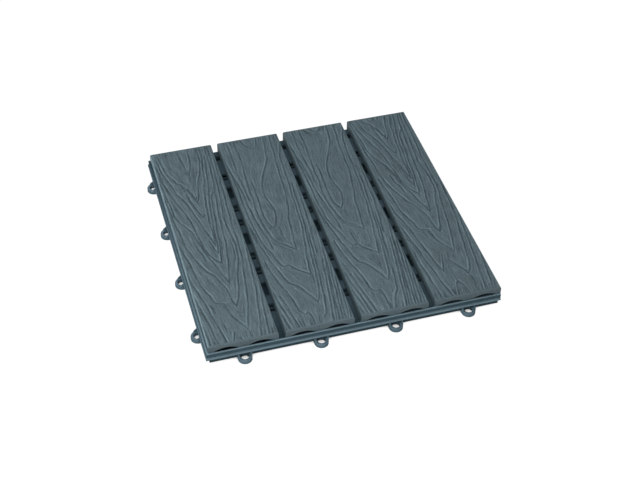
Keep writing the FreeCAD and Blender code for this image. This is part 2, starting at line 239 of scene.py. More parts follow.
grainLook = {
    "depth": 0.46,
    "halfWidth": 0.72,
    "ridge": 0.13,  # height of the ridge beside a groove, which is coloured paler as rubbed and as a painted highlight
    "ridgePlace": 1.7,
    "ridgeWidth": 0.7,
    "ridgeEnd": 2.0,  # how far a ridge runs on past the groove's tip
    "ridgeShares": (0.55, 0.45),  # what both sides have, and what the bend moves to its inside, the lit side, where the paler colour is a painted highlight
    "fullBend": 0.08,  # a slope that already counts as a bend
    "wobble": 0.2,
    "wobbleLengths": (1.9, 5.1, 13.7),  # lengths of its waves, each over two pi
    "depthWaves": (0.25, 6.3, 17.0),  # how much the depth comes and goes, and the same of its waves
    "ragged": 0.2,
    "raggedCells": (170, 60),
    "lineStep": 0.5,
    "lineSmoothing": 6.0,
    "streakReach": (7, 24),  # rows that the fine and the broad streaks are dragged, each way
    "minor": 0.7,
    "minorGroove": (0.9, 2.4),  # broad streaks between these strengths become small grooves
    "minorRidge": (1.1, 2.6),
    "fibre": 0.045,
    "sunk": 0.05,  # how far the level of the grain lies under the rounded edges
    "endFade": (1.0, 3.0),  # distances from the end and side over which the grain sets in
    "sideFade": (0.4, 1.8),
    "brushedFrom": (0.8, 1.2),  # the brushed finish is full this far from the end and side
    "outerSheen": 1.9,  # a painted sheen on the tile's two outer edges, in the pale colour of the skin, and how far in it reaches
    "sheenReach": (1.5, 1.4),
}

slatColours = {
    "face": (0.088, 0.121, 0.133),
    # darker in the grooves: painted shade in the hollows, with dirt
    "groove": (0.024, 0.042, 0.051),
    # paler on the ridges: rubbed, and a painted highlight on the lit side inside each bend
    "ridge": (0.150, 0.205, 0.225),
    # the pale colour of the unbrushed skin, laid on as a painted sheen
    "skin_and_sheen": (0.200, 0.280, 0.315),
    "streak": 0.18,
    "mottle": (1000.0, 0.75, 28.0, 0.12),  # grit scale and amount, cloud scale and amount
    "bump": (0.00025, 0.5),  # height and strength
    "roughness": (0.42, 0.78),  # smooth skin, brushed face
    "specular": 0.35,
}

# The embossing roller has a broad and a narrow figure. Each groove is a chain of places
# across and along the slat, from the back round its tip and up again.
broadFigure = [
    [(-12, 160), (-6, 137), (-1, 130.5), (3, 128), (7, 130), (9.5, 147), (10, 160)],
    [(-16.5, 147), (-16, 120), (-15.5, 105), (-17, 90), (-17.5, 75), (-18.5, 60), (-18, 45),
     (-19.5, 30), (-19, 15), (-17, 0), (-15, -12), (-13, -20), (-10, -25.5), (-5, -29),
     (0, -35), (5.5, -40.5), (7.2, -24), (9, -8), (10.3, 6), (13, 17), (15.5, 32), (17.5, 45),
     (19, 60), (19.5, 75), (20.5, 90), (21.5, 105), (23, 120), (25, 150)],
    [(19, 155), (16.5, 135), (14.5, 118), (12.7, 106), (7, 92.5), (1, 78), (-3, 67),
     (-4.7, 57), (-4.7, 47), (-3, 35), (-1.4, 28), (-0.3, 22), (-1.4, 12), (-4.7, 2),
     (-8, -3.5), (-12, 4), (-13.5, 16), (-14, 29), (-13, 40), (-12.8, 60), (-13, 74)],
    [(-33.5, 120), (-31.5, 100), (-30.5, 75), (-30, 50), (-29.5, 20), (-28.5, 0), (-27, -15),
     (-24, -30), (-19.2, -42), (-17.6, -50), (-15.9, -55), (-13.4, -61), (-7.6, -60.4),
     (-4.2, -66), (1.6, -72), (8.2, -77), (10, -79.5), (10.6, -70), (12.4, -60), (14.1, -48),
     (15.7, -40), (17.4, -27), (19.9, -13), (21.5, 5), (23, 30), (25, 60), (26, 85),
     (27.5, 106), (31, 120), (34, 133)],
    [(-32, 5), (-30, -12), (-27, -35), (-24, -50), (-20, -66), (-17.6, -77), (-14.2, -85.5),
     (-9.2, -88.5), (-5, -95), (-0.9, -103), (3.2, -111), (6.2, -118), (9.4, -111),
     (11.6, -102), (13.3, -92), (14.9, -80), (16.5, -66), (18.2, -53), (19.9, -38),
     (22, -20), (24.5, 5), (26.5, 30), (28, 60)],
    [(-30, -50), (-27, -70), (-24, -82), (-20, -95), (-17.5, -107), (-15.9, -116),
     (-15, -124), (-10.9, -129.5), (-6.7, -128.5), (-5.1, -134), (-4, -150), (-3.5, -162)],
    [(0, -165), (4.1, -147), (6.6, -138), (10.7, -133), (12.4, -123), (14, -113), (15.8, -100),
     (17.5, -85), (19.5, -65), (21.7, -45), (24, -22)],
    [(-34, 118), (-31, 92), (-28.5, 78), (-26.5, 62), (-26, 40), (-24.5, 20), (-22, 3),
     (-20, -10), (-17.8, -22), (-16.8, -34)],
    [(-24.5, 147), (-24, 120), (-24.5, 95), (-23, 70), (-22.5, 45)],
    [(33, 60), (31, 30), (29.5, 0), (27, -25), (24, -50)],
    [(-34, 40), (-33, 15), (-31.5, -5), (-31, -22)],
]
narrowFigure = [
    [(-5, 150), (-3.5, 128), (-1.4, 111), (0.7, 101), (2.8, 110), (4.6, 117), (6, 128), (7, 150)],
    [(-27, 150), (-25.6, 128), (-23, 110), (-19.7, 101.5), (-15.6, 92.5), (-10.6, 88),
     (-9.2, 77)],
    [(-9, 84), (-5.2, 75), (-3, 66), (-0.3, 56), (2.8, 64), (4.8, 75), (7.4, 88), (9.4, 97),
     (12, 102), (13.6, 110), (16, 122), (17.5, 150)],
    [(-6.4, 80), (-3.4, 71), (-1, 61.5), (0.6, 66)],
    [(-29.5, 135), (-28, 117), (-25.6, 102), (-21.4, 88), (-19.7, 77), (-15.6, 67),
     (-11.4, 57), (-8.9, 47), (-7.2, 37), (-4.7, 25), (-2.2, 12), (0.4, 0), (3.7, -14),
     (4.8, 0), (5.2, 25), (6.4, 37), (7.7, 50), (9.4, 63), (11, 77), (13.6, 87), (15.7, 100),
     (16.9, 110), (19.4, 125), (21, 150)],
    [(-8.9, 72), (-7.2, 60), (-4.7, 48), (-2.2, 40), (1.5, 31), (3, 36)],
    [(-32, 125), (-30.6, 110), (-29.7, 95), (-27.2, 83), (-24.7, 73), (-22.2, 63), (-19.7, 52),
     (-16.4, 43), (-13.9, 30), (-12.2, 17), (-10.5, 2), (-8.2, -15), (-5.5, -25), (-2, -33),
     (3.4, -39.5), (5.7, -30), (7.6, -18), (9, -8), (9.6, 3), (11, 18), (12.7, 33),
     (14.4, 47), (15.2, 57), (17, 65), (20.5, 69)],
    [(22.7, 128), (21, 112), (19.4, 100), (17.7, 87), (15.7, 75), (12.7, 60), (11.4, 50),
     (10.2, 37), (8.6, 23), (7, 10), (6.2, -4), (5.2, -16), (3.6, -25), (1, -18), (-1.5, -5)],
    [(-33, 95), (-30.6, 72), (-28.9, 57), (-28, 42), (-24.7, 30), (-20.6, 22), (-15.6, 12),
     (-13.2, 0), (-10.5, -13), (-7.2, -27), (-3, -41), (-0.2, -52), (2.4, -60), (5, -69.5),
     (7.2, -58), (9.1, -47), (11.6, -35), (13.6, -20), (14.6, -7), (14.9, 3), (16, 17),
     (17.4, 33), (19.6, 50), (21, 67), (22.7, 83), (24.4, 100), (25.6, 117), (26.5, 145)],
    [(-33.5, 72), (-31.4, 57), (-30.6, 37), (-28.9, 20), (-27.2, 3), (-26, -10), (-22.6, -22),
     (-18.4, -35), (-13.4, -48), (-7.6, -55), (-4.2, -65), (-0.9, -73), (0.75, -83),
     (1.6, -93), (4.4, -101.5), (8.2, -93), (10.7, -83), (13.2, -72), (15.7, -58),
     (19.2, -46), (21.9, -38), (23, -28), (23.4, -15), (22, 0), (20.5, 15), (22, 33),
     (23.8, 50), (25.3, 63), (26.3, 80), (27.7, 100), (28.8, 120), (29.5, 145)],
    [(-23.5, -66), (-21, -75), (-17.6, -82), (-16.8, -89), (-14.6, -93), (-6.7, -95.5),
     (-5.1, -102), (-4.2, -108), (-1.7, -115), (1.6, -120.5)],
    [(-8, -98), (-5.4, -106), (-2.6, -115), (1.6, -122), (4.9, -128), (7.7, -134), (9.8, -127),
     (12.4, -116), (14.1, -108), (16.6, -95), (18.7, -83), (20, -72), (22.3, -57),
     (24.5, -45), (26, -30), (26.6, -12), (26.4, 5), (26.8, 20), (28.2, 38), (29.4, 57),
     (30, 80), (31.3, 100), (32.3, 120)],
    [(-33, -45), (-31.7, -62), (-28.4, -73), (-25, -88), (-22, -107), (-19.2, -124),
     (-16, -143), (-15, -151), (-13, -158), (-10.5, -150.5), (-8, -143), (-5.5, -134)],
    [(-34, -78), (-31.5, -92), (-28.5, -107), (-26.2, -122), (-25, -135), (-22, -155),
     (-19, -175), (-15.5, -190), (-12, -200)],
    [(-31.5, -5), (-30, -18), (-27.6, -30), (-26.7, -42), (-25, -56), (-23.4, -68)],
    [(-34, -108), (-32.2, -125), (-31.5, -140), (-29.5, -160), (-27.5, -185), (-26, -205)],
    [(33.5, -12), (31, -50), (28.3, -83), (25.2, -103), (21.8, -125), (18.4, -146),
     (14.5, -160), (10.6, -167), (6, -157), (2, -150), (-1.5, -143)],
    [(33.5, -75), (31, -95), (28.6, -117), (26.4, -140), (23, -165), (19.5, -190), (17.5, -205)],
    [(-13, -205), (-9, -192), (-6, -178), (-3.4, -174), (-0.8, -178), (1.5, -190), (4, -205)],
    [(33.8, -130), (31, -160), (27.5, -190), (26, -205)],
    [(-17, -3), (-15.5, -14), (-12.6, -22), (-10.8, -33)],
]


def addFan(figure, starts, lean, back, front):
    # straight grooves side by side, all with the same lean
    for start in starts:
        figure.append([(start + lean * (y - front), y) for y in np.linspace(back, front, 6)])


addFan(broadFigure, (17.3, 20.4, 23.2, 26.4, 29.3, 32.2), 0.125, -24, -165)
addFan(broadFigure, (11.4, 14.3), 0.15, -60, -165)
addFan(broadFigure, (-21.2, -25.4, -29.6), -0.17, -62, -165)
addFan(broadFigure, (-16.5,), -0.17, -100, -165)

# Each slat's figure, how far it is shifted along the slat, and the seed of its fine grain
slatRun = {
    "slat_1": (narrowFigure, 0.0, 11),
    "slat_2": (broadFigure, 0.0, 23),
    "slat_3": (broadFigure, 11.0, 37),
    "slat_4": (narrowFigure, 47.0, 53),
}


def splitRuns(chain):
    # a groove is cut where it turns back, so that each run has one place for every y
    runs = []
    run = [chain[0]]
    direction = 0
    for before, point in zip(chain, chain[1:]):
        step = np.sign(point[1] - before[1])
        if direction and step and step != direction:
            runs.append(run)
            run = [before]
        direction = step or direction
        run.append(point)
    return runs + [run]


def grooveLine(y, run, wobble):
    # the groove's place across the slat at every y: the chain's straight pieces averaged over
    # a bell; also its slope, and how far each y lies beyond the groove's ends
    step, span = grainLook["lineStep"], grainLook["lineSmoothing"]
    points = np.array(sorted(run, key=lambda point: point[1]), float)
    low, high = points[0, 1], points[-1, 1]
    along = np.arange(low - span, high + span, step)
    across = np.interp(along, points[:, 1], points[:, 0])
    count = round(span / step)
    kernel = np.hanning(count + 1)
    across = np.convolve(np.pad(across, count // 2, mode="edge"), kernel / kernel.sum(), "valid")
    centre = np.interp(y, along, across) + wobble
    slope = np.interp(y, along, np.gradient(across, along))
    beyond = np.maximum(np.maximum(low - y, y - high), 0.0)
    return centre[:, None], slope[:, None], beyond[:, None]


def flowStreaks(slope, x, y, seed, reach):
    # random grit dragged along the grain: each point takes the sum of the grit met on the way
    # up and down the line of flow that passes through it, over the spread of all the sums
    rng = np.random.default_rng(seed)
    grit = rng.normal(size=slope.shape)
    total = grit.copy()
    for side in (-1, 1):
        place = np.broadcast_to(x[None, :], slope.shape)
        column = np.broadcast_to(np.arange(x.size)[None, :], slope.shape)
        row = np.broadcast_to(np.arange(y.size)[:, None], slope.shape)
        for _ in range(reach):
            following = np.clip(row + side, 0, y.size - 1)
            place = place + slope[row, column] * (y[following] - y[row])
            column = np.clip(np.searchsorted(x, place.ravel()), 0, x.size - 1).reshape(place.shape)
            row = following
            total += grit[row, column]
    return total / total.std()


def blurAcross(values):
    # each point and its two neighbours across the slat added up, over the spread of the sums
    padded = np.pad(values, ((0, 0), (1, 1)), mode="edge")
    total = padded[:, :-2] + padded[:, 1:-1] + padded[:, 2:]
    return total / total.std()


def embossing(x, y, figure, shift, seed):
    # each groove is a bell, exp(-(distance / half width)^2), with a like bell for the ridge on each
    # side, the higher one inside its bend, paler as rubbed and as a painted highlight on that lit side;
    # between the grooves streaks follow their mean slope, weighted by 1 / (1 + distance^2)^2
    look = grainLook
    rng = np.random.default_rng(seed)
    groove = np.zeros((y.size, x.size))
    ridge = np.zeros_like(groove)
    slopeSum = np.zeros_like(groove)
    weightSum = np.full_like(groove, 1e-4)
    ragged = look["ragged"] * softNoise(groove.shape, look["raggedCells"], seed + 5)
    change, short, long = look["depthWaves"]
    for chain in figure:
        wave = rng.uniform(0, 6.28, 3)
        waves = [np.sin(y / length + phase) for length, phase in zip(look["wobbleLengths"], wave)]
        wobble = look["wobble"] * (0.5 * waves[0] + waves[1] + waves[2])
        strength = 1.0 - change + change * np.sin(y / short + wave[1]) * np.sin(y / long + wave[2])
        strength = strength[:, None]
        for run in splitRuns(chain):
            places = [point[1] + shift for point in run]
            if max(places) < y[0] or min(places) > y[-1]:
                continue
            centre, slope, beyond = grooveLine(y - shift, run, wobble)
            aside = (x[None, :] - centre) / np.sqrt(1.0 + slope**2)
            distance = np.abs(np.hypot(aside, beyond) + ragged)
            weight = 1.0 / (1.0 + distance**2) ** 2
            slopeSum += slope * weight
            weightSum += weight
            cut = np.exp(-((distance / look["halfWidth"]) ** 2)) * strength
            groove = np.maximum(groove, cut)
            inside = -slope / np.sqrt(slope**2 + look["fullBend"] ** 2)
            both, moved = look["ridgeShares"]
            bells = np.zeros_like(groove)
            for side in (-1, 1):
                across = (aside + side * look["ridgePlace"]) / look["ridgeWidth"]
                bell = np.exp(-(across**2 + (beyond / look["ridgeEnd"]) ** 2))
                bells += bell * (both - side * moved * inside)
            ridge = np.maximum(ridge, bells * strength)
    ridge = ridge * (1.0 - np.clip(groove * 1.5, 0, 1))
    slope = slopeSum / weightSum
    fibre = flowStreaks(slope, x, y, seed + 1, look["streakReach"][0])
    broad = blurAcross(flowStreaks(slope, x, y, seed + 2, look["streakReach"][1]))
    ridge = np.maximum(ridge, smoothStep(-broad, *look["minorRidge"]) * look["minor"])
    minor = smoothStep(broad, *look["minorGroove"]) * look["minor"]
    groove = np.maximum(groove, minor * (1.0 - ridge * 0.6))
    return groove, ridge, fibre


def roundDrop(distance, radius):
    # how far a quarter round has fallen at this distance from the edge
    inside = np.clip(radius - distance, 0.0, radius)
    return radius - np.sqrt(radius**2 - inside**2)


def slatColumns(s):
    # places across the slat: the long edge is left at even angles of its round, radius times
    # (1 - cosine), and the flat part has even steps
    half = s["width"] / 2
    angles = np.linspace(0, np.pi / 2, s["roundSteps"])[:-1]
    left = -half + s["edgeRound"] * (1 - np.cos(angles))
    middle = np.linspace(-half + s["edgeRound"], half - s["edgeRound"], s["columns"])
    return np.concatenate([left, middle, -left[::-1]])


def slatRows(s):
    # places along the slat: close rows at both ends and even steps between them
    half = s["length"] / 2
    end = np.array(s["endRows"])
    middle = np.linspace(-half + s["endMargin"], half - s["endMargin"], s["rows"])
    return np.concatenate([-half + end, middle, half - end[::-1]])


def flutedUnderside(s):
    # the lower edge of the section from left to right: at each flute two legs and the arc of
    # a circle through them, its radius (width^2 / 4 + rise^2) / (2 rise)
    rise, width = s["fluteRise"], s["fluteWidth"]
    radius = (width**2 / 4 + rise**2) / (2 * rise)
    spread = math.asin(width / 2 / radius)
    places = [(-s["width"] / 2, 0.0)]
    for side in (-1, 1):
        middle = side * s["fluteSpacing"] / 2
        places.append((middle - width / 2, 0.0))
        for angle in np.linspace(-spread, spread, s["archSteps"]):
            height = s["fluteLeg"] + rise - radius * (1 - math.cos(angle))
            places.append((middle + radius * math.sin(angle), height))
        places.append((middle + width / 2, 0.0))
    places.append((s["width"] / 2, 0.0))
    return np.array(places)


def grainRelief(groove, ridge, fibre, fade):
    # grooves go down and ridges come up from a sunk level, so that nothing stands proud
    look = grainLook
    relief = look["ridge"] * ridge - look["depth"] * groove
    relief = relief + look["fibre"] * fibre - (look["ridge"] + look["sunk"]) * fade
    return np.minimum(relief, 0.0)


def slatFaces(rows, columns, below):
    # quads of the top and of the fluted underside, then one flat face for each end and side
    first = rows * columns
    faces = gridFaces(rows, columns).tolist()
    faces += gridFaces(2, below, first)[:, ::-1].tolist()
    smooth = [True] * len(faces)
    frontTop = list(range(columns))
    backTop = list(range((rows - 1) * columns, rows * columns))
    frontLow = list(range(first, first + below))
    backLow = list(range(first + below, first + 2 * below))
    leftTop = list(range(0, rows * columns, columns))
    rightTop = list(range(columns - 1, rows * columns, columns))
    faces.append(frontLow + frontTop[::-1])
    faces.append(backTop + backLow[::-1])
    faces.append([frontLow[0]] + leftTop + [backLow[0]])
    faces.append([backLow[-1]] + rightTop[::-1] + [frontLow[-1]])
    return faces, smooth + [False] * 4


def makeSlat(name, number, material):
    # the top is a height over x and y: the thickness, less a quarter round at each edge, plus
    # the relief of the grain; the underside carries the lower edge of the section straight along
    s, look = slatSizes, grainLook
    figure, shift, seed = slatRun[name]
    x, y = slatColumns(s), slatRows(s)
    reach = s["length"] / 2
    toEnd = (reach - np.abs(y))[:, None]
    toSide = (s["width"] / 2 - np.abs(x))[None, :]
    fade = smoothStep(toEnd, *look["endFade"]) * smoothStep(toSide, *look["sideFade"])
    groove, ridge, fibre = [values * fade for values in embossing(x, y, figure, shift, seed)]
    top = s["thick"] - roundDrop(toSide, s["edgeRound"]) - roundDrop(toEnd, s["endRound"])
    top = top + grainRelief(groove, ridge, fibre, fade)
    sheet = np.stack(np.broadcast_arrays(x[None, :], y[:, None], top), -1).reshape(-1, 3)

    under = flutedUnderside(s)
    below = len(under)
    ends = [np.column_stack([under[:, 0], np.full(below, end), under[:, 1]]) for end in (-reach, reach)]
    points = np.concatenate([sheet, *ends])
    middle = (len(slatRun) - 1) / 2
    points += np.array([(number - middle) * s["pitch"], 0.0, s["bottom"]])
    faces, smooth = slatFaces(y.size, x.size, below)
    piece = newPiece(f"{name}_grained", points * mm, faces, smooth, material)

    endReach, sideReach = look["brushedFrom"]
    brushed = smoothStep(toEnd, 0.0, endReach) * smoothStep(toSide, 0.0, sideReach)
    outer = (number == 0) * (x < 0) + (number == len(slatRun) - 1) * (x > 0)
    # the painted sheen: the skin's pale colour on the outer side of the first and last slat only
    endReach, sideReach = look["sheenReach"]
    skin_and_sheen = smoothStep(toEnd, 0.0, endReach) * (1.0 - smoothStep(toSide, 0.0, sideReach))
    skin_and_sheen = look["outerSheen"] * outer[None, :] * skin_and_sheen
    marks = {"groove": groove, "ridge": ridge, "fibre": fibre, "brushed": brushed, "skin_and_sheen": skin_and_sheen}
    plain = np.zeros(2 * below)
    for label, values in marks.items():
        attribute = piece.data.attributes.new(label, "FLOAT", "POINT")
        values = np.concatenate([values.ravel(), plain]).astype(np.float32)
        attribute.data.foreach_set("value", values)
    piece.data.set_sharp_from_angle(angle=math.radians(s["sharpAngle"]))
    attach(piece, "root")
    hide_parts(name)


def makeSlatMaterial():
    look = slatColours
    material, tree, surface = newMaterial("grained_composite", look["roughness"][1])
    surface.inputs["Specular IOR Level"].default_value = look["specular"]
    link = tree.links.new
    grit = addMottle(tree, *look["mottle"])
    # the face colour, with the painted sheen of the outer edges, the paler ridges and the darker
    # grooves
    colour = look["face"]
    for label in ("skin_and_sheen", "ridge", "groove"):
        colour = mixColours(tree, colour, look[label], readMark(tree, label))
    streak = addNode(tree, "ShaderNodeMath", {"operation": "MULTIPLY_ADD"}, {1: look["streak"], 2: 1.0})
    shade = addNode(tree, "ShaderNodeMath", {"operation": "MULTIPLY"})
    link(readMark(tree, "fibre"), streak.inputs[0])
    link(streak.outputs[0], shade.inputs[0])
    link(grit.outputs["Shade"], shade.inputs[1])
    link(multiplyColour(tree, colour, shade.outputs[0]), surface.inputs["Base Color"])
    blendRoughness(tree, surface, look["roughness"], readMark(tree, "brushed"))
    addBump(tree, surface, grit.outputs["Height"], *look["bump"])
    return material


slatMaterial = makeSlatMaterial()
for number, name in enumerate(slatRun):
    makeSlat(name, number, slatMaterial)
print("slats: four grained bars")


# Base: the moulding, with its sharp corners eased and its eyelets rounded

baseLook = {
    "colour": (0.042, 0.069, 0.084),
    # the paler colour of painted light and highlight on the lip, flare, bars and eyelets
    "paintedLitColour": (0.158, 0.218, 0.252),
    "mottle": (2200.0, 0.12, 40.0, 0.16),
    "bump": (0.00004, 0.12),
    "roughness": (0.66, 0.34),  # plain, polished
    "specular": 0.03,
    "tint": (0.72, 0.90, 1.0),
    "coatRoughness": 0.22,
    "edge": 0.2,  # round of every sharp corner
    "edgeAngle": 35,
    "sharpAngle": 40,
    "near": 0.02,  # a point this close to a plane is on it
    "lipFace": -150.0,
    "lipDepth": 2.4,
    "lipTop": 14.8,
    "lipRound": 0.5,
    "lipHighlightFrom": 14.2,  # above this height the front lip's top gets a painted highlight
    "flareFace": -150.8,
    "flareTop": 10.8,
    "flareFoot": 8.0,
    "flareDraw": 0.45,
    "barReach": 147.0,  # the bars lie inside this square, up to just over this height
    "barTop": 10.2,
    # how much painted light the bars seen in the gaps get
    "barPaintedLight": 0.2,
    "eyelets": (-113.25, -37.75, 37.75, 113.25),
    "eyeletLine": -151.0,
    "eyeletHeight": 4.5,
    # how much painted light the eyelets get
    "eyeletPaintedLight": 0.5,
    "eyeletPolish": 0.4,
    "outerRadius": 7.0,
    "outerRound": 1.4,
    "holeRadius": 4.0,
    "holeRound": 0.8,
    "ringNear": 0.06,
    "ringLimit": -149.5,  # rings are left sharp inside this, where they meet the rim's wall
}


def makeBaseMaterial():
    look = baseLook
    material, tree, surface = newMaterial("moulded_base", look["roughness"][0])
    surface.inputs["Specular IOR Level"].default_value = look["specular"]
    surface.inputs["Specular Tint"].default_value = (*look["tint"], 1)
    surface.inputs["Coat Tint"].default_value = (*look["tint"], 1)
    surface.inputs["Coat Roughness"].default_value = look["coatRoughness"]
    grit = addMottle(tree, *look["mottle"])
    # the plastic's colour, turned paler by the mark read here, which is painted light and highlight
    colour = mixColours(tree, look["colour"], look["paintedLitColour"], readMark(tree, "painted_light"))
    colour = multiplyColour(tree, colour, grit.outputs["Shade"])
    tree.links.new(colour, surface.inputs["Base Color"])
    polish = readMark(tree, "polish")
    tree.links.new(polish, surface.inputs["Coat Weight"])
    blendRoughness(tree, surface, look["roughness"], polish)
    addBump(tree, surface, grit.outputs["Height"], *look["bump"])
    return material


def nearly(value, target):
    # whether a coordinate lies on a plane, to within the tolerance
    return abs(value - target) < baseLook["near"]


def ringEdges(work, radius):
    # the edges that run round any eyelet at this radius, at the height of its top
    look = baseLook
    front = [(place, look["eyeletLine"]) for place in look["eyelets"]]
    centres = front + [(y, x) for x, y in front]
    found = []
    for edge in work.edges:
        ends = [vert.co / mm for vert in edge.verts]
        if not all(nearly(end.z, look["eyeletHeight"]) for end in ends):
            continue
        if any(min(end.x, end.y) > look["ringLimit"] for end in ends):
            continue
        for x, y in centres:
            off = [abs(math.hypot(end.x - x, end.y - y) - radius) for end in ends]
            if max(off) < look["ringNear"]:
                found.append(edge)
                break
    return found


def lipEdges(work):
    # the edges round the top of the lip
    look = baseLook
    innerEdge = look["lipFace"] + look["lipDepth"]
    return [
        edge for edge in work.edges
        if all(
            nearly(end.co.z / mm, look["lipTop"]) and min(end.co.x, end.co.y) / mm < innerEdge
            for end in edge.verts
        )
    ]


def roundEdges(work, edges, size, steps):
    # size is how far the round reaches from the edge, in mm
    bmesh.ops.bevel(
        work, geom=edges, offset=size * mm, segments=steps, profile=0.5, affect="EDGES"
    )


def drawFlare(work, painted_light):
    # the flare's top edge is drawn in and its foot drawn up, and the foot is painted lighter as painted
    # light on the flare
    look = baseLook
    for vert in work.verts:
        for axis in (0, 1):
            place, height = vert.co[axis] / mm, vert.co.z / mm
            if nearly(place, look["lipFace"]) and nearly(height, look["flareTop"]):
                vert.co[axis] += look["flareDraw"] * mm
            if nearly(place, look["flareFace"]) and nearly(height, look["flareFoot"]):
                vert.co.z += look["flareDraw"] * mm
                vert[painted_light] = 1.0


def markPaintedLightAndPolish(work, painted_light, polish):
    # painted light: a painted highlight on the top of the front lip, and the bars under the gaps and
    # the eyelets painted paler; the eyelets are also polished
    look = baseLook
    lipStart, lipEnd = look["lipFace"] + 0.05, look["lipFace"] + look["lipDepth"]
    for vert in work.verts:
        left, front, height = vert.co / mm
        if lipStart < front < lipEnd and height > look["lipHighlightFrom"]:
            vert[painted_light] = 1.0
        if max(abs(left), abs(front)) < look["barReach"] and height > look["barTop"]:
            vert[painted_light] = look["barPaintedLight"]
        if min(left, front) < look["flareFace"] - 0.1:
            vert[painted_light] = look["eyeletPaintedLight"]
            vert[polish] = look["eyeletPolish"]


def makeBase(material):
    # a merged copy of the CAD moulding, its flat faces joined so that edges can be rounded
    look = baseLook
    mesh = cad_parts["base_grid"].data.copy()
    mesh.name = "base_moulding"
    work = bmesh.new()
    work.from_mesh(mesh)
    bmesh.ops.remove_doubles(work, verts=work.verts, dist=1e-6)
    flat = math.radians(1.0)
    bmesh.ops.dissolve_limit(work, angle_limit=flat, verts=work.verts, edges=work.edges)
    roundEdges(work, ringEdges(work, look["outerRadius"]), look["outerRound"], 3)
    roundEdges(work, ringEdges(work, look["holeRadius"]), look["holeRound"], 2)
    roundEdges(work, lipEdges(work), look["lipRound"], 3)
    # one mark for painted light and highlight, one for polish
    painted_light = work.verts.layers.float.new("painted_light")
    polish = work.verts.layers.float.new("polish")
    drawFlare(work, painted_light)
    markPaintedLightAndPolish(work, painted_light, polish)
    work.to_mesh(mesh)
    work.free()
    mesh.materials.clear()
    mesh.materials.append(material)
    piece = bpy.data.objects.new("base_moulding", mesh)
    bpy.context.collection.objects.link(piece)
    bevel = piece.modifiers.new("eased_edges", "BEVEL")
    bevel.width = look["edge"] * mm
    bevel.segments = 2
    bevel.limit_method = "ANGLE"
    bevel.angle_limit = math.radians(look["edgeAngle"])
    bevel.harden_normals = True
    mesh.polygons.foreach_set("use_smooth", [True] * len(mesh.polygons))
    mesh.set_sharp_from_angle(angle=math.radians(look["sharpAngle"]))
    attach(piece, "root")
    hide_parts("base_grid")


makeBase(makeBaseMaterial())
print("base: moulding with eased edges and rounded eyelets")


# Screws: pan heads with a cross recess and a rolled thread, heads down

screwSizes = {
    "places": [(x, y) for x in (-113.25, -37.75, 37.75, 113.25) for y in (-113.25, 113.25)],
    "bottom": 5.6,
    "headRadius": 3.6,
    "headRound": 0.9,
    "headTop": 8.0,
    "innerRadius": 0.12,  # of the flat cap that closes the middle of the head
    "brim": 0.12,  # chamfer where the head meets the slat
    "shankRadius": 1.7,
    "threadDepth": 0.45,
    "threadPitch": 1.4,
    "threadFlank": (0.1, 0.9),
    "threadStart": (0.3, 0.9),  # heights over the head between which the thread deepens
    "tipStart": 15.6,
    "tip": 18.0,
    "tipShare": 0.03,  # of the shank's radius that is left at the tip
    "crossArm": 2.1,
    "crossHalf": 0.42,
    "crossDepth": 1.3,
    "crossDraft": 0.22,
    "crossEnd": 0.5,
    "faceRows": 20,
    "roundRows": 5,
    "shankRows": 66,
    "columns": 48,
    "sharpAngle": 45,
}

screwLook = {
    "colour": (0.52, 0.52, 0.50),
    "mottle": (1800.0, 0.1, 200.0, 0.12),
    "bump": (0.00008, 0.3),
    "roughness": 0.34,
}


def makeScrewMaterial():
    look = screwLook
    material, tree, surface = newMaterial("zinc_steel", look["roughness"])
    surface.inputs["Metallic"].default_value = 1.0
    grit = addMottle(tree, *look["mottle"])
    colour = multiplyColour(tree, look["colour"], grit.outputs["Shade"])
    tree.links.new(colour, surface.inputs["Base Color"])
    addBump(tree, surface, grit.outputs["Height"], *look["bump"])
    return material


def turnedScrew(s):
    # radius and height turned about the axis; the cross is pressed up into the head, and the
    # thread is a triangle wave of height less angle that dies out towards the tip
    angle = np.linspace(0.0, 2.0 * np.pi, s["columns"], endpoint=False)[None, :]
    headTop, brim = s["headTop"], s["brim"]
    flat = s["headRadius"] - s["headRound"]
    faceRadius = np.linspace(s["innerRadius"], flat, s["faceRows"])
    faceHeight = np.full(s["faceRows"], s["bottom"])
    turn = np.linspace(0.0, np.pi / 2, s["roundRows"] + 1)[1:]
    roundRadius = flat + s["headRound"] * np.sin(turn)
    roundHeight = s["bottom"] + s["headRound"] * (1.0 - np.cos(turn))
    brimRadius = [s["headRadius"], s["headRadius"] - brim]
    brimHeight = [headTop - brim, headTop]
    shankHeight = np.linspace(headTop, s["tip"], s["shankRows"])
    taper = np.clip((s["tip"] - shankHeight) / (s["tip"] - s["tipStart"]), s["tipShare"], 1.0)
    shankRadius = s["shankRadius"] * taper
    radius = np.concatenate([faceRadius, roundRadius, brimRadius, shankRadius])[:, None]
    height = np.concatenate([faceHeight, roundHeight, brimHeight, shankHeight])[:, None]

    wave = (height / s["threadPitch"] - angle / (2.0 * np.pi)) % 1.0
    groove = smoothStep(np.abs(wave - 0.5) * 2.0, *s["threadFlank"])
    start, full = s["threadStart"]
    onThread = smoothStep(height, headTop + start, headTop + full)
    onThread = onThread * np.minimum(radius / s["shankRadius"], 1.0)
    radius = radius - s["threadDepth"] * groove * np.where(height > headTop, onThread, 0.0)
    x, y = radius * np.cos(angle), radius * np.sin(angle)

    toArm = np.minimum(np.abs(x), np.abs(y))
    nearArm = 1.0 - smoothStep(toArm, s["crossHalf"], s["crossHalf"] + s["crossDraft"])
    withinArm = 1.0 - smoothStep(np.hypot(x, y), s["crossArm"] - s["crossEnd"], s["crossArm"])
    pressed = s["crossDepth"] * nearArm * withinArm * (height < s["bottom"] + 0.01)
    return np.stack(np.broadcast_arrays(x, y, height + pressed), -1)


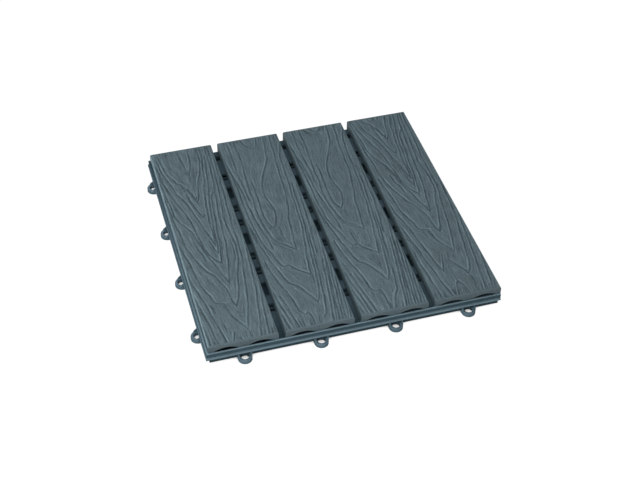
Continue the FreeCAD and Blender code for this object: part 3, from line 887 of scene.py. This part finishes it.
def makeScrews(material):
    # one closed sheet of quads for each screw, with a flat cap at both ends
    s = screwSizes
    sheet = turnedScrew(s)
    rows, columns = sheet.shape[:2]
    index = np.arange(rows * columns).reshape(rows, columns)
    after = np.roll(index, -1, axis=1)
    quads = np.stack([index[:-1], index[1:], after[1:], after[:-1]], -1).reshape(-1, 4)
    points = np.concatenate([sheet.reshape(-1, 3) + np.array([x, y, 0.0]) for x, y in s["places"]])
    faces = []
    smooth = []
    for number in range(len(s["places"])):
        first = number * rows * columns
        faces += (quads + first).tolist()
        smooth += [True] * len(quads)
        faces.append((index[0] + first).tolist())
        faces.append((index[-1][::-1] + first).tolist())
        smooth += [False] * 2
    piece = newPiece("turned_screws", points * mm, faces, smooth, material)
    piece.data.set_sharp_from_angle(angle=math.radians(s["sharpAngle"]))
    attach(piece, "root")
    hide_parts("slat_screws")


makeScrews(makeScrewMaterial())
print("screws: eight turned screws")


# Floor, light and camera

stage = {
    "floorSize": 8.0,
    # the floor's colour under the tile, painted shade
    "floorPaintedShade": (0.045, 0.095, 0.120),
    "floorPale": (0.5, 0.5, 0.5),
    "floorRoughness": 0.9,
    "white": 0.92,  # share of white glow in the floor that the camera sees
    "glow": 1.1,
    "glossyWhite": 0.1,  # how much of the white a reflection shows
    "shadowReach": 0.03,
    "shadowRange": (0.02, 0.30),
    "shadowSamples": 12,
    "underTile": (0.141, 0.1485),  # the floor is painted dark as shade inside the first square, pale outside the other
    "worldStrength": 0.17,
    "worldColour": (0.93, 0.97, 1.0, 1),
}

softboxes = {
    "key": {
        "place": (-0.26, -0.55, 0.66), "size": (0.9, 0.75), "energy": 5.2, "colour": (1, 1, 1),
    },
    "strip": {
        "place": (0.1, -1.0, 0.28), "size": (1.3, 0.3), "energy": 1.5, "colour": (0.85, 0.95, 1.0),
    },
    "side": {
        "place": (-0.80, -0.30, 0.66), "size": (0.8, 0.5), "energy": 3.2, "colour": (0.88, 0.96, 1.0),
    },
    "sheen": {
        "place": (-0.20, 0.98, 0.95), "size": (1.3, 0.75), "energy": 8.5, "colour": (0.80, 0.93, 1.0),
    },
}


def addWhiteMask(tree):
    # 1 where a background ray should be white: camera and see-through rays, and mirrors in part
    path = addNode(tree, "ShaderNodeLightPath")
    mirrored = addNode(tree, "ShaderNodeMath", {"operation": "MULTIPLY"}, {1: stage["glossyWhite"]})
    both = addNode(tree, "ShaderNodeMath", {"operation": "ADD"})
    whole = addNode(tree, "ShaderNodeMath", {"operation": "ADD", "use_clamp": True})
    link = tree.links.new
    link(path.outputs["Is Glossy Ray"], mirrored.inputs[0])
    link(path.outputs["Is Camera Ray"], both.inputs[0])
    link(path.outputs["Is Transmission Ray"], both.inputs[1])
    link(both.outputs[0], whole.inputs[0])
    link(mirrored.outputs[0], whole.inputs[1])
    return whole.outputs[0]


def makeFloor():
    # a white glow, dimmed near the tile by ambient occlusion as a painted soft shadow, over a floor
    # painted dark as shade under the tile
    size = stage["floorSize"] / 2
    material, tree, surface = newMaterial("floor_white", stage["floorRoughness"])
    corners = [(-size, -size, 0), (size, -size, 0), (size, size, 0), (-size, size, 0)]
    floor = newPiece("floor", corners, [(0, 1, 2, 3)], [False], material)
    # ambient occlusion dims the glow near the tile: a painted soft shadow
    nearness = addNode(tree, "ShaderNodeAmbientOcclusion", {"samples": stage["shadowSamples"]}, {
        "Distance": stage["shadowReach"],
    })
    lit = addNode(tree, "ShaderNodeMapRange", {"interpolation_type": "SMOOTHSTEP"}, {
        "From Min": stage["shadowRange"][0],
        "From Max": stage["shadowRange"][1],
        "To Max": stage["glow"],
    })
    place = addNode(tree, "ShaderNodeTexCoord")
    sides = addNode(tree, "ShaderNodeVectorMath", {"operation": "ABSOLUTE"})
    split = addNode(tree, "ShaderNodeSeparateXYZ")
    farther = addNode(tree, "ShaderNodeMath", {"operation": "MAXIMUM"})
    outside = addNode(tree, "ShaderNodeMapRange", inputs={
        "From Min": stage["underTile"][0],
        "From Max": stage["underTile"][1],
    })
    glow = addNode(tree, "ShaderNodeEmission")
    bright = addNode(tree, "ShaderNodeMath", {"operation": "MULTIPLY"}, {1: stage["white"]})
    keep = addNode(tree, "ShaderNodeMath", {"operation": "MULTIPLY"})
    mix = addNode(tree, "ShaderNodeMixShader")
    link = tree.links.new
    link(nearness.outputs["AO"], lit.inputs["Value"])
    link(lit.outputs["Result"], glow.inputs["Strength"])
    link(place.outputs["Object"], sides.inputs[0])
    link(sides.outputs["Vector"], split.inputs[0])
    link(split.outputs["X"], farther.inputs[0])
    link(split.outputs["Y"], farther.inputs[1])
    link(farther.outputs[0], outside.inputs["Value"])
    link(addWhiteMask(tree), keep.inputs[0])
    link(outside.outputs["Result"], bright.inputs[0])
    link(bright.outputs[0], keep.inputs[1])
    colour = mixColours(tree, stage["floorPaintedShade"], stage["floorPale"], outside.outputs["Result"])
    link(colour, surface.inputs["Base Color"])
    link(keep.outputs[0], mix.inputs["Fac"])
    link(surface.outputs[0], mix.inputs[1])
    link(glow.outputs[0], mix.inputs[2])
    link(mix.outputs[0], tree.nodes["Material Output"].inputs["Surface"])


def makeWorld():
    # a weak ambient light that the camera sees as white
    world = bpy.data.worlds.new("studio")
    bpy.context.scene.world = world
    world.use_nodes = True
    tree = world.node_tree
    tree.nodes.clear()
    ambient = addNode(tree, "ShaderNodeBackground", inputs={
        "Color": stage["worldColour"],
        "Strength": stage["worldStrength"],
    })
    seen = addNode(tree, "ShaderNodeBackground", inputs={"Color": (1, 1, 1, 1), "Strength": 1.0})
    mix = addNode(tree, "ShaderNodeMixShader")
    out = addNode(tree, "ShaderNodeOutputWorld")
    tree.links.new(addWhiteMask(tree), mix.inputs["Fac"])
    tree.links.new(ambient.outputs[0], mix.inputs[1])
    tree.links.new(seen.outputs[0], mix.inputs[2])
    tree.links.new(mix.outputs[0], out.inputs["Surface"])


def addSoftbox(name, look):
    # a rectangular lamp that faces the middle of the tile
    lamp = bpy.data.lights.new(name, "AREA")
    lamp.shape = "RECTANGLE"
    lamp.size, lamp.size_y = look["size"]
    lamp.energy = look["energy"]
    lamp.color = look["colour"]
    box = bpy.data.objects.new(name, lamp)
    box.location = look["place"]
    box.rotation_euler = (-Vector(look["place"])).to_track_quat("-Z", "Y").to_euler()
    bpy.context.collection.objects.link(box)


makeFloor()
makeWorld()
for name, look in softboxes.items():
    addSoftbox(name, look)

cameraView = {
    "azimuth": -16.744,
    "elevation": 43.128,
    "roll": 0.792,
    "distance": 1.2903,
    "target": (-0.0055, -0.0340, 0.022),
    "lens": 71.052,
    "sensor": 36.0,
}


def makeCamera():
    # the camera looks along -Z of a frame built from the azimuth, elevation and roll
    view = cameraView
    azimuth, elevation = math.radians(view["azimuth"]), math.radians(view["elevation"])
    back = Vector((
        math.sin(azimuth) * math.cos(elevation),
        -math.cos(azimuth) * math.cos(elevation),
        math.sin(elevation),
    ))
    right = (-back).cross(Vector((0, 0, 1))).normalized()
    up = right.cross(-back)
    roll = math.radians(view["roll"])
    rolledRight = right * math.cos(roll) + up * math.sin(roll)
    rolledUp = up * math.cos(roll) - right * math.sin(roll)
    camera = bpy.data.objects.new("camera", bpy.data.cameras.new("camera"))
    camera.data.sensor_width = view["sensor"]
    camera.data.lens = view["lens"]
    place = Vector(view["target"]) + back * view["distance"]
    for column, vector in enumerate((rolledRight, rolledUp, back, place)):
        for row in range(3):
            camera.matrix_world[row][column] = vector[row]
    bpy.context.collection.objects.link(camera)
    bpy.context.scene.camera = camera


makeCamera()
bpy.context.scene.view_settings.view_transform = "Standard"
print("floor, light and camera")
